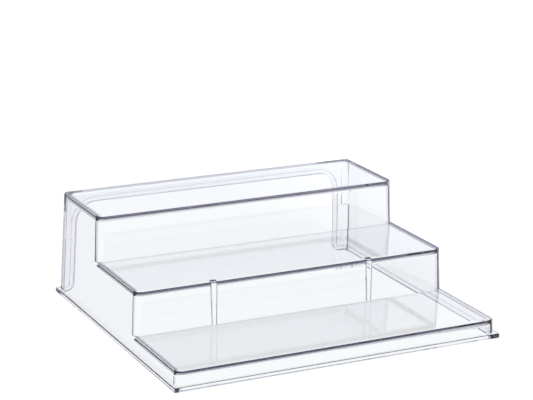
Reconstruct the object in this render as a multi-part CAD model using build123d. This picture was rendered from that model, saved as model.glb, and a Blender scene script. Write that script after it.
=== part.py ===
from build123d import *
import os
from math import radians, tan

# Tiered shelf riser: one clear injection moulding with three decks, open underneath, millimetres.
# X runs across the width, the front faces -Y and +Z is up. The origin is the centre of the base.
# The shell is made whole and then parted along its panels, so neighbours meet face to face.

# Driving dimensions
BASE_WIDTH = 266.0  # across the side walls at the table
FRONT_STEP = 14.6  # top of the bottom deck above the table
LOWER_RISE = 34.0  # from the bottom deck to the middle one
UPPER_RISE = 36.1  # from the middle deck to the top one
DECK_DEPTH = 77.4  # from a deck's front edge to the face of the next riser
WALL = 2.8
SIDE_DRAFT = 2.4  # degrees, side and back walls
FACE_DRAFT = 1.2  # degrees, the two risers and the front
FRONT_CORNER_RADIUS = 6.0  # upright corners, outside
INNER_FRONT_RADIUS = 4.4
BACK_CORNER_RADIUS = 3.6
INNER_BACK_RADIUS = 6.0
EDGE_RADIUS = 0.7  # edge of every deck, outside
INNER_EDGE_RADIUS = 3.0  # under the edge of every deck

# Bead round the free edge of the shell: along the table and round the arch in the back wall
RIM_REACH = 2.6  # out from the wall
RIM_HEIGHT = 3.5  # up from the free edge
RIM_CORNER_RADIUS = 1.6
BEAD_EDGE_RADIUS = 0.8

# Arch in the back wall, measured at its free edge
ARCH_INSET = 14.0  # in from the outside of the side walls
ARCH_TOP_BELOW_DECK = 12.5
ARCH_TOP_RADIUS = 14.5
ARCH_FOOT_RADIUS = 6.0

# Stacking ribs behind the lower riser, and stacking stops in the back corners
RIB_OFFSET = 66.5  # from the middle of the width
RIB_TOP_WIDTH = 5.0
RIB_FOOT_WIDTH = 3.4
RIB_TOP_DEPTH = 3.8
RIB_FOOT_DEPTH = 2.6
STOP_SIZE = 6.6  # in from the outside faces at the top deck
REST_EDGE_RADIUS = 0.7  # edges of the ribs and stops

# Where the panels part
SEAM_BELOW_DECK = 1.6  # below a deck's underside
SEAM_ABOVE_DECK = 0.2  # above a deck's top, round the foot of a riser
SEAM_BEHIND_FACE = 1.4  # behind the inside of a front face, within the rounding of its corners
SEAM_OFF_FACE = 0.4  # a bead or rib parts this far from the wall that carries it
BACK_CORNER_WIDTH = 10.2  # in from the side wall at the table
BACK_CORNER_DEPTH = 12.0  # in from the back wall at the table
FAR = 400.0  # beyond the part in any direction
OVERLAP = 1.0  # how far joined shapes run into each other

SIDE_SLOPE = tan(radians(SIDE_DRAFT))
FACE_SLOPE = tan(radians(FACE_DRAFT))
BOTTOM_DECK_Z = FRONT_STEP
MIDDLE_DECK_Z = BOTTOM_DECK_Z + LOWER_RISE
TOP_DECK_Z = MIDDLE_DECK_Z + UPPER_RISE

# The depth follows from the three decks and the slopes of the walls
BACK_Y = (3 * DECK_DEPTH + TOP_DECK_Z * (SIDE_SLOPE + FACE_SLOPE)) / 2
REAR_Y = BACK_Y - BACK_CORNER_DEPTH  # the back wall and its corners lie behind this

# Heights where the walls part from the decks above them, and from the rim below
TOP_CUT_Z = TOP_DECK_Z - WALL - SEAM_BELOW_DECK
MIDDLE_CUT_Z = MIDDLE_DECK_Z - WALL - SEAM_BELOW_DECK
BOTTOM_CUT_Z = BOTTOM_DECK_Z - WALL - SEAM_BELOW_DECK
RIM_CUT_Z = RIM_HEIGHT + SEAM_OFF_FACE


def back_y(z):
    """Outside of the back wall at height z."""
    return BACK_Y - z * SIDE_SLOPE


def half_width(z):
    """Outside of the side walls at height z."""
    return BASE_WIDTH / 2 - z * SIDE_SLOPE


def face_y(tier, z):
    """Outside of a front face at height z: tier 1 is the upper riser and tier 3 the front."""
    return back_y(TOP_DECK_Z) - tier * DECK_DEPTH - (TOP_DECK_Z - z) * FACE_SLOPE


def prism_along_x(*points):
    """A (Y, Z) outline carried right across the part."""
    return extrude(Plane.YZ * make_face(Polyline(*points, close=True)), FAR, both=True)


def prism_along_y(*points):
    """An (X, Z) outline carried right through the part."""
    return extrude(Plane.XZ * make_face(Polyline(*points, close=True)), FAR, both=True)


def block(inset, tier, back_at, bottom, top):
    """A block with the slopes of the shell, its faces moved in by inset, and its back at back_at(z)."""
    side = prism_along_x(
        (face_y(tier, bottom) + inset, bottom),
        (back_at(bottom) - inset, bottom),
        (back_at(top) - inset, top),
        (face_y(tier, top) + inset, top),
    )
    front = prism_along_y(
        (half_width(bottom) - inset, bottom),
        (half_width(top) - inset, top),
        (inset - half_width(top), top),
        (inset - half_width(bottom), bottom),
    )
    return side & front


def upright_edges(solid):
    """The edges that climb from the bottom of a block to its top."""
    height = solid.bounding_box().size.Z
    return solid.edges().filter_by(lambda edge: edge.bounding_box().size.Z > height / 2)


def tier_block(inset, tier, deck_z, bottom, front_radius, back_radius, edge_radius):
    """One step from the table to its deck. The lower two end hidden inside the step behind them."""
    hidden_end = face_y(tier - 1, TOP_DECK_Z) + DECK_DEPTH / 4
    reaches_back = tier == 1
    back_at = back_y if reaches_back else lambda z: hidden_end
    solid = block(inset, tier, back_at, bottom, deck_z)
    solid = fillet(upright_edges(solid).group_by(Axis.Y)[0], front_radius)
    if reaches_back:
        solid = fillet(upright_edges(solid).group_by(Axis.Y)[-1], back_radius)
    rounded = solid.faces().sort_by(Axis.Z)[-1].edges().sort_by(Axis.Y)
    return fillet(rounded if reaches_back else rounded[:-1], edge_radius)


def stepped(inset, bottom, front_radius, back_radius, edge_radius):
    """All three steps as one solid, moved in by inset all round and under the decks."""
    decks = (TOP_DECK_Z, MIDDLE_DECK_Z, BOTTOM_DECK_Z)
    tiers = [
        tier_block(inset, tier, deck_z - inset, bottom, front_radius, back_radius, edge_radius)
        for tier, deck_z in enumerate(decks, start=1)
    ]
    return tiers[0] + tiers[1] + tiers[2]


def arch_face(grow):
    """The arch's (X, Z) outline, its legs parallel to the side walls, moved out by grow from its free edge."""
    top = TOP_DECK_Z - ARCH_TOP_BELOW_DECK + grow
    crown = ARCH_TOP_RADIUS + grow
    foot = ARCH_FOOT_RADIUS - grow
    foot_x = half_width(grow) - ARCH_INSET + grow
    top_x = half_width(top) - ARCH_INSET + grow
    outline = FilletPolyline(
        (-FAR, grow),
        (-foot_x, grow),
        (-top_x, top),
        (top_x, top),
        (foot_x, grow),
        (FAR, grow),
        radius=(foot, crown, crown, foot),
    )
    floor = Polyline((FAR, grow), (FAR, -FAR), (-FAR, -FAR), (-FAR, grow))
    return make_face(outline.edges() + floor.edges())


def through_back(face):
    """An (X, Z) outline carried through the back wall and the bead on it."""
    return Pos(0, REAR_Y, 0) * extrude(Plane.XZ * face, -FAR)


def region(x=(-FAR, FAR), y=(-FAR, FAR), z=(-FAR, FAR)):
    """A box between two limits on each axis. An axis that isn't given runs past the part."""
    middle = [(low + high) / 2 for low, high in (x, y, z)]
    size = [high - low for low, high in (x, y, z)]
    return Pos(*middle) * Box(*size)


def behind(start, low, high):
    """Everything behind the sloping surface y = start(z), between two heights."""
    return prism_along_x((start(low), low), (FAR, low), (FAR, high), (start(high), high))


def is_bead_edge(edge):
    """True for the edges round the bead's outer face, but not for the seams in its upright corners."""
    at = edge @ 0.5
    out = max(at.Y - back_y(at.Z), face_y(3, at.Z) - at.Y, abs(at.X) - half_width(at.Z))
    is_seam = abs(edge.length - RIM_HEIGHT) < RIM_HEIGHT / 10
    return out > RIM_REACH / 2 and not is_seam


def bead():
    """The rim along the table, with the lip that carries it round the arch."""
    foot_end = half_width(0) - ARCH_INSET + ARCH_FOOT_RADIUS
    rim = block(-RIM_REACH, 3, back_y, 0, RIM_HEIGHT)
    rim = fillet(upright_edges(rim), RIM_CORNER_RADIUS)
    lip = through_back(arch_face(RIM_HEIGHT) - arch_face(0)) & region(x=(-foot_end, foot_end))
    lip = lip & block(-RIM_REACH, 1, back_y, 0, TOP_DECK_Z)
    lip = lip & behind(lambda z: back_y(z) - WALL, 0, TOP_DECK_Z)
    solid = rim - through_back(arch_face(0)) + lip
    return fillet(solid.edges().filter_by(is_bead_edge), BEAD_EDGE_RADIUS)


def rib(sign):
    """One of the two ribs that stand behind the lower riser, narrower and shallower at the foot."""
    top = MIDDLE_DECK_Z - WALL + OVERLAP
    foot = MIDDLE_DECK_Z - WALL - LOWER_RISE
    outline = Polyline(
        (RIB_TOP_WIDTH / 2, top),
        (RIB_FOOT_WIDTH / 2, foot),
        (-RIB_FOOT_WIDTH / 2, foot),
        (-RIB_TOP_WIDTH / 2, top),
        close=True,
    )
    bar = extrude(Plane.XZ * make_face(outline), FAR, both=True)
    inside_top = face_y(2, top) + WALL
    inside_foot = face_y(2, foot) + WALL
    bar = bar & prism_along_x(
        (inside_top - OVERLAP, top),
        (inside_top + RIB_TOP_DEPTH, top),
        (inside_foot + RIB_FOOT_DEPTH, foot),
        (inside_foot - OVERLAP, foot),
    )
    foot_corners = bar.edges().filter_by(Axis.Y).group_by(Axis.Z)[0]
    bar = fillet(foot_corners, RIB_FOOT_WIDTH / 3)
    back_face = bar.faces().sort_by(Axis.Y)[-1]
    top_edge = back_face.edges().sort_by(Axis.Z)[-1]
    rounded = [edge for edge in back_face.edges() if edge != top_edge]
    return Pos(sign * RIB_OFFSET, 0, 0) * fillet(rounded, REST_EDGE_RADIUS)


def stops(outer):
    """Square posts that fill the back corners, from the top deck down by one rise."""
    inner_x = half_width(TOP_DECK_Z) - STOP_SIZE
    inner_y = back_y(TOP_DECK_Z) - STOP_SIZE
    heights = (TOP_DECK_Z - WALL - UPPER_RISE, TOP_DECK_Z - WALL + OVERLAP)
    post = region(x=(inner_x, FAR), y=(inner_y, FAR), z=heights)
    exposed = post.edges().filter_by(Axis.Z).sort_by(Axis.Y)[:2].sort_by(Axis.X)[0]
    post = fillet(exposed, REST_EDGE_RADIUS)
    return (post & outer) + (mirror(post, about=Plane.YZ) & outer)


def moulding():
    """The whole shell in one piece."""
    outer = stepped(0, 0, FRONT_CORNER_RADIUS, BACK_CORNER_RADIUS, EDGE_RADIUS)
    cavity = stepped(WALL, -OVERLAP, INNER_FRONT_RADIUS, INNER_BACK_RADIUS, INNER_EDGE_RADIUS)
    shell = outer + bead() - cavity - through_back(arch_face(0))
    return shell + stops(outer) + rib(1) + rib(-1)


def panel_regions():
    """The space that each named panel of the moulding takes."""
    return_end = WALL + SEAM_BEHIND_FACE
    upper_y = face_y(1, MIDDLE_DECK_Z) + return_end
    lower_y = face_y(2, BOTTOM_DECK_Z) + return_end
    front_y = face_y(3, 0) + return_end
    middle_foot = MIDDLE_DECK_Z + SEAM_ABOVE_DECK
    bottom_foot = BOTTOM_DECK_Z + SEAM_ABOVE_DECK
    side_x = BASE_WIDTH / 2 - BACK_CORNER_WIDTH

    regions = {
        "top_deck": region(z=(TOP_CUT_Z, FAR)),
        "upper_riser": region(y=(-FAR, upper_y), z=(middle_foot, TOP_CUT_Z)),
        "middle_deck": region(y=(-FAR, upper_y), z=(MIDDLE_CUT_Z, middle_foot)),
        "lower_riser": region(y=(-FAR, lower_y), z=(bottom_foot, MIDDLE_CUT_Z)),
        "bottom_deck": region(y=(-FAR, lower_y), z=(BOTTOM_CUT_Z, bottom_foot)),
        "front_face": region(y=(-FAR, front_y), z=(RIM_CUT_Z, BOTTOM_CUT_Z)),
        "back_wall": region(x=(-side_x, side_x), y=(REAR_Y, FAR), z=(RIM_CUT_Z, TOP_CUT_Z)),
        "base_rim_front": region(y=(-FAR, front_y), z=(-FAR, RIM_CUT_Z)),
    }
    halves = {"left": ((-FAR, 0), (-FAR, -side_x)), "right": ((0, FAR), (side_x, FAR))}
    for side, (half, corner) in halves.items():
        regions[f"{side}_side_rear"] = region(half, (upper_y, REAR_Y), (RIM_CUT_Z, TOP_CUT_Z))
        regions[f"{side}_side_middle"] = region(half, (lower_y, upper_y), (RIM_CUT_Z, MIDDLE_CUT_Z))
        regions[f"{side}_side_front"] = region(half, (front_y, lower_y), (RIM_CUT_Z, BOTTOM_CUT_Z))
        regions[f"back_{side}_corner"] = region(corner, (REAR_Y, FAR), (RIM_CUT_Z, TOP_CUT_Z))
        regions[f"base_rim_{side}"] = region(half, (front_y, REAR_Y), (-FAR, RIM_CUT_Z))
        regions[f"base_rim_back_{side}"] = region(half, (REAR_Y, FAR), (-FAR, RIM_CUT_Z))
    return regions


def attached_regions():
    """The space of each bead or rib that stands on a panel, with the panels that give it up."""
    lip = behind(lambda z: back_y(z) + SEAM_OFF_FACE, RIM_HEIGHT, TOP_DECK_Z)
    spaces = {"arch_lip": (lip, ["back_wall"])}
    ribs = behind(lambda z: face_y(2, z) + WALL + SEAM_OFF_FACE, RIM_HEIGHT, MIDDLE_CUT_Z)
    for side, sign in (("left", -1), ("right", 1)):
        reach = RIB_TOP_WIDTH / 2 + SEAM_OFF_FACE
        width = (sign * RIB_OFFSET - reach, sign * RIB_OFFSET + reach)
        hosts = ["lower_riser", "bottom_deck", f"{side}_side_middle"]
        spaces[f"front_{side}_rib"] = (ribs & region(x=width, y=(-FAR, 0)), hosts)
    return spaces


def named_pieces(whole):
    """Every named piece of the moulding, each meeting its neighbours face to face."""
    pieces = {name: whole & space for name, space in panel_regions().items()}
    for name, (space, hosts) in attached_regions().items():
        pieces[name] = Part() + [pieces[host] & space for host in hosts]
        for host in hosts:
            pieces[host] = pieces[host] - space
    return pieces


def main():
    whole = moulding()
    pieces = named_pieces(whole)
    os.makedirs("parts", exist_ok=True)
    for name, piece in pieces.items():
        export_step(piece, f"parts/{name}.step")
    lost = whole.volume - sum(piece.volume for piece in pieces.values())
    print(f"moulding {whole.volume:.0f} mm3, {lost:.2f} mm3 outside the pieces, {whole.bounding_box()}")


main()
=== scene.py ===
import math

import bpy
from mathutils import Matrix, Vector
from mathutils.bvhtree import BVHTree


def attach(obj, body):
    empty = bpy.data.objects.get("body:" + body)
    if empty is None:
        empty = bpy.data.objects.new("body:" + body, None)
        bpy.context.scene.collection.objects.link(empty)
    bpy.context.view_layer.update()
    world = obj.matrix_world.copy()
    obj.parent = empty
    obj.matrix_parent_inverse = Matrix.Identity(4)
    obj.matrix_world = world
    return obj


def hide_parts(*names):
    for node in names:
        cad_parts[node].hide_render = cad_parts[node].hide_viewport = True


# A clear tiered shelf riser on a white table, metres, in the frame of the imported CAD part.

# The plastic
IOR = 1.57
SEEN_THROUGH = (0.960, 0.970, 0.974, 1)  # share of the light that is left after it passes a face
REFLECTED = (0.75, 0.73, 0.79, 1)  # share that is left after it bounces off a face
WAVE_SCALE = 30.0  # waves per metre in the moulded faces
WAVE_HEIGHT = 0.00003
TOUCHING = 1e-4  # faces of neighbouring panels closer than this are one seam
OPPOSED = -0.99  # and their normals point at each other

# The table, with its light at the part and to the right of it
FLOOR_DROP = 0.0001
FLOOR_SIZE = 40.0
TABLE_LIGHT = 1.04
TABLE_RIGHT = 1.25
TABLE_CHANGE = (0.1, 0.3)  # along X

# The room. The limits of each change are parts of a unit direction
WALL_LIGHT = (1.28, 1.34, 1.32, 1)
DIM_ABOVE = (0.50, 0.50, 0.55, 1)
ABOVE_CHANGE = (0.32, 0.60)  # along Z
ROOM_FRONT = 0.4
FRONT_CHANGE = (-0.6, -0.2)  # along Y

# Camera, as (x, y, z) and lens
CAMERA_AT = (-0.6217, -1.2413, 0.4969)
CAMERA_TARGET = (0.1390, 0.2895, 0.0)
CAMERA_ROLL = 0.699
LENS = 125.98


def make_material(name):
    material = bpy.data.materials.new(name)
    material.use_nodes = True
    material.node_tree.nodes.clear()
    return material, material.node_tree


def moulding_waves(tree):
    """The faint waviness that a mould leaves in a polished face, as a normal."""
    place = tree.nodes.new("ShaderNodeTexCoord")
    noise = tree.nodes.new("ShaderNodeTexNoise")
    noise.inputs["Scale"].default_value = WAVE_SCALE
    noise.inputs["Detail"].default_value = 2.0
    bump = tree.nodes.new("ShaderNodeBump")
    bump.inputs["Strength"].default_value = 1.0
    bump.inputs["Distance"].default_value = WAVE_HEIGHT
    tree.links.new(place.outputs["Object"], noise.inputs["Vector"])
    tree.links.new(noise.outputs["Fac"], bump.inputs["Height"])
    return bump.outputs["Normal"]


def clear_plastic():
    """Polished clear plastic. Light trapped inside it loses some at each bounce, so its edges draw darker."""
    material, tree = make_material("clear_plastic")
    out = tree.nodes.new("ShaderNodeOutputMaterial")
    waves = moulding_waves(tree)
    through = tree.nodes.new("ShaderNodeBsdfRefraction")
    through.inputs["Color"].default_value = SEEN_THROUGH
    through.inputs["Roughness"].default_value = 0.0
    through.inputs["IOR"].default_value = IOR
    mirror = tree.nodes.new("ShaderNodeBsdfGlossy")
    mirror.inputs["Color"].default_value = REFLECTED
    mirror.inputs["Roughness"].default_value = 0.0
    fresnel = tree.nodes.new("ShaderNodeFresnel")
    fresnel.inputs["IOR"].default_value = IOR
    mix = tree.nodes.new("ShaderNodeMixShader")
    for node in (through, mirror, fresnel):
        tree.links.new(waves, node.inputs["Normal"])
    tree.links.new(fresnel.outputs["Fac"], mix.inputs[0])
    tree.links.new(through.outputs["BSDF"], mix.inputs[1])
    tree.links.new(mirror.outputs["BSDF"], mix.inputs[2])
    tree.links.new(mix.outputs["Shader"], out.inputs["Surface"])
    return material


def seam_material():
    """The inside of the plastic where one panel runs on into the next: nothing to see."""
    material, tree = make_material("moulded_through")
    out = tree.nodes.new("ShaderNodeOutputMaterial")
    through = tree.nodes.new("ShaderNodeBsdfTransparent")
    tree.links.new(through.outputs["BSDF"], out.inputs["Surface"])
    return material


def panel(name, node, others, plastic, seam):
    """The visible copy of one panel, its faces against the other panels given the seam material."""
    mesh = node.data.copy()
    piece = bpy.data.objects.new("plastic_" + name, mesh)
    bpy.context.scene.collection.objects.link(piece)
    mesh.materials.clear()
    mesh.materials.append(plastic)
    mesh.materials.append(seam)
    for face in mesh.polygons:
        hits = [hit for tree in others for hit in tree.find_nearest_range(face.center, TOUCHING)]
        if any(normal.dot(face.normal) < OPPOSED for _, normal, _, _ in hits):
            face.material_index = 1
    return piece


def build_panels(frame):
    plastic = clear_plastic()
    seam = seam_material()
    trees = {}
    for name, node in frame["nodes"].items():
        mesh = node.data
        points = [vertex.co.copy() for vertex in mesh.vertices]
        faces = [tuple(face.vertices) for face in mesh.polygons]
        trees[name] = BVHTree.FromPolygons(points, faces)
        mesh.materials.clear()
        mesh.materials.append(plastic)
    for name, node in frame["nodes"].items():
        others = [tree for other, tree in trees.items() if other != name]
        piece = panel(name, node, others, plastic, seam)
        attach(piece, "root")
        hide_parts(name)


def ramp(tree, value, change, low, high):
    """A smooth step from low to high as the value passes through the change."""
    node = tree.nodes.new("ShaderNodeMapRange")
    node.interpolation_type = "SMOOTHSTEP"
    node.inputs["From Min"].default_value = change[0]
    node.inputs["From Max"].default_value = change[1]
    node.inputs["To Min"].default_value = low
    node.inputs["To Max"].default_value = high
    tree.links.new(value, node.inputs["Value"])
    return node.outputs["Result"]


def floor():
    """A white light table that runs to the horizon, a little brighter to the right of the part."""
    bpy.ops.mesh.primitive_plane_add(size=FLOOR_SIZE, location=(0, 0, -FLOOR_DROP))
    plane = bpy.context.object
    plane.name = "floor"
    material, tree = make_material("white_table")
    out = tree.nodes.new("ShaderNodeOutputMaterial")
    glow = tree.nodes.new("ShaderNodeEmission")
    glow.inputs["Color"].default_value = (1, 1, 1, 1)
    place = tree.nodes.new("ShaderNodeTexCoord")
    split = tree.nodes.new("ShaderNodeSeparateXYZ")
    tree.links.new(place.outputs["Object"], split.inputs[0])
    strength = ramp(tree, split.outputs["X"], TABLE_CHANGE, TABLE_LIGHT, TABLE_RIGHT)
    tree.links.new(strength, glow.inputs["Strength"])
    tree.links.new(glow.outputs["Emission"], out.inputs["Surface"])
    plane.data.materials.append(material)


def light_room():
    """A pale wall behind and beside the table, a dimmer room above it and in front."""
    world = bpy.data.worlds.new("room")
    bpy.context.scene.world = world
    world.use_nodes = True
    tree = world.node_tree
    background = tree.nodes["Background"]
    direction = tree.nodes.new("ShaderNodeTexCoord")
    split = tree.nodes.new("ShaderNodeSeparateXYZ")
    tree.links.new(direction.outputs["Generated"], split.inputs[0])
    above = tree.nodes.new("ShaderNodeMix")
    above.data_type = "RGBA"
    wall, ceiling = above.inputs[6:8]  # the node's two colour sockets
    wall.default_value = WALL_LIGHT
    ceiling.default_value = DIM_ABOVE
    tree.links.new(ramp(tree, split.outputs["Z"], ABOVE_CHANGE, 0, 1), above.inputs[0])
    tree.links.new(above.outputs[2], background.inputs["Color"])
    tree.links.new(ramp(tree, split.outputs["Y"], FRONT_CHANGE, ROOM_FRONT, 1), background.inputs["Strength"])


def camera():
    data = bpy.data.cameras.new("camera")
    data.lens = LENS
    data.sensor_width = 36
    data.clip_end = 50
    eye = bpy.data.objects.new("camera", data)
    bpy.context.scene.collection.objects.link(eye)
    look = Vector(CAMERA_TARGET) - Vector(CAMERA_AT)
    turn = look.to_track_quat("-Z", "Y").to_matrix().to_4x4()
    roll = Matrix.Rotation(math.radians(CAMERA_ROLL), 4, "Z")
    eye.matrix_world = Matrix.Translation(CAMERA_AT) @ turn @ roll
    bpy.context.scene.camera = eye


def light_paths():
    cycles = bpy.context.scene.cycles
    cycles.max_bounces = 32
    cycles.transmission_bounces = 32
    cycles.glossy_bounces = 12
    cycles.diffuse_bounces = 3
    cycles.transparent_max_bounces = 64
    bpy.context.scene.view_settings.view_transform = "Standard"


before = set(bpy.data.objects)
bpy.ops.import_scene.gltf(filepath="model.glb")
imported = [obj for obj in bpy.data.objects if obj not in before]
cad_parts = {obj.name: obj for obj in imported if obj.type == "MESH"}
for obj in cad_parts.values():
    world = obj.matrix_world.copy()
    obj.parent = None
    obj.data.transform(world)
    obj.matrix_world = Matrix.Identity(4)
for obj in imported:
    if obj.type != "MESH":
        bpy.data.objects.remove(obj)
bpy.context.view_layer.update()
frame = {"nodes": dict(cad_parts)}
build_panels(frame)
floor()
light_room()
camera()
light_paths()
